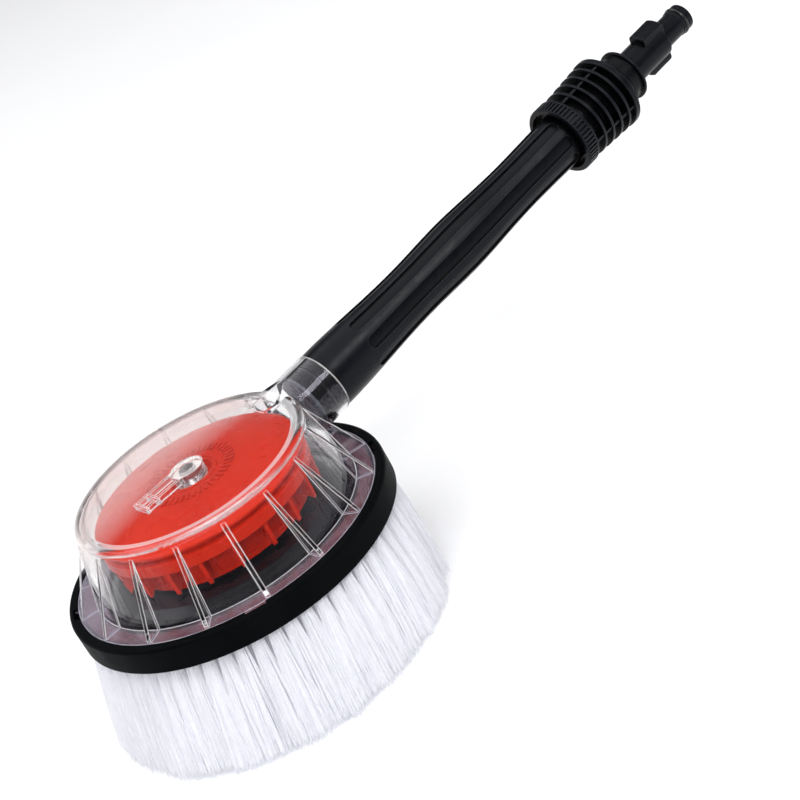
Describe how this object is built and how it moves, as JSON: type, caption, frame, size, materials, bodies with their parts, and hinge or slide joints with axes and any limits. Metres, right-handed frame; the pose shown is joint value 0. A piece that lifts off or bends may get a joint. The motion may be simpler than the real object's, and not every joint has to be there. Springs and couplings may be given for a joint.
{
  "type": "rotary wash brush",
  "caption": "Water-driven rotary wash brush: clear domed cover over a red turbine, black ring, round head of white bristles, long grip and bayonet inlet.",
  "frame": {"origin": "on the spin axis of the brush disc, in the plane of the bristle tips", "axes": "+Z along the spin axis from the bristle tips up to the clear cover; +X from the head towards the handle"},
  "size_m": [0.4524, 0.1822, 0.1261],
  "materials": {
    "clear_plastic": "clear moulded polycarbonate",
    "black_plastic": "fine matt moulded black",
    "grip_plastic": "satin moulded black",
    "red_plastic": "glossy moulded red",
    "dark_red_plastic": "low-friction dark red",
    "white_acetal": "natural acetal",
    "bristle": "white polyester filament",
    "steel": "stainless steel",
    "spring_steel": "dark spring steel",
    "steel_tube": "drawn stainless tube",
    "bronze": "sintered bronze",
    "black_rubber": "nitrile rubber"
  },
  "bodies": {
    "housing": {"clear_cover": "clear_plastic", "bumper_ring": "black_plastic", "axle": "steel", "gear_carrier": "black_plastic", "planet_pins": "steel", "planet_clips": "spring_steel", "thrust_washer": "white_acetal", "retaining_washer": "steel", "retaining_screw": "steel", "handle_grip": "grip_plastic", "nozzle_insert": "black_plastic", "water_tube": "steel_tube", "neck_o_ring": "black_rubber", "tube_o_ring": "black_rubber", "knurled_ring": "grip_plastic", "grip_barrel": "grip_plastic", "bayonet_spigot": "grip_plastic", "nose_o_ring": "black_rubber", "inlet_filter": "white_acetal"},
    "turbine": {"turbine_wheel": "red_plastic", "turbine_bush_lower": "bronze", "turbine_bush_upper": "bronze", "sun_gear": "white_acetal", "turbine_washer": "white_acetal"},
    "brush_disc": {"brush_plate": "black_plastic", "brush_bush": "bronze", "slide_ring": "dark_red_plastic", "ring_gear": "black_plastic", "ring_gear_screws": "steel", "tufts_outer_row": "bristle", "tufts_second_row": "bristle", "tufts_third_row": "bristle", "tufts_fourth_row": "bristle", "tufts_inner_row": "bristle"},
    "planet_1": {"planet_gear_1": "white_acetal"},
    "planet_2": {"planet_gear_2": "white_acetal"},
    "planet_3": {"planet_gear_3": "white_acetal"}
  },
  "joints": [
    {"name": "brush_spin", "type": "hinge", "parent": "housing", "child": "brush_disc", "pos_m": [0, 0, 0.05], "axis": [0, 0, 1], "continuous": true},
    {"name": "turbine_spin", "type": "hinge", "parent": "housing", "child": "turbine", "pos_m": [0, 0, 0.08], "axis": [0, 0, 1], "continuous": true},
    {"name": "planet_spin_1", "type": "hinge", "parent": "housing", "child": "planet_1", "pos_m": [0.018, 0, 0.06], "axis": [0, 0, 1], "continuous": true},
    {"name": "planet_spin_2", "type": "hinge", "parent": "housing", "child": "planet_2", "pos_m": [-0.009, 0.01559, 0.06], "axis": [0, 0, 1], "continuous": true},
    {"name": "planet_spin_3", "type": "hinge", "parent": "housing", "child": "planet_3", "pos_m": [-0.009, -0.01559, 0.06], "axis": [0, 0, 1], "continuous": true}
  ],
  "couplings": [
    {"joint": "turbine_spin", "follows": "brush_spin", "ratio": -3.8},
    {"joint": "planet_spin_1", "follows": "brush_spin", "ratio": 2.7143},
    {"joint": "planet_spin_2", "follows": "brush_spin", "ratio": 2.7143},
    {"joint": "planet_spin_3", "follows": "brush_spin", "ratio": 2.7143}
  ]
}
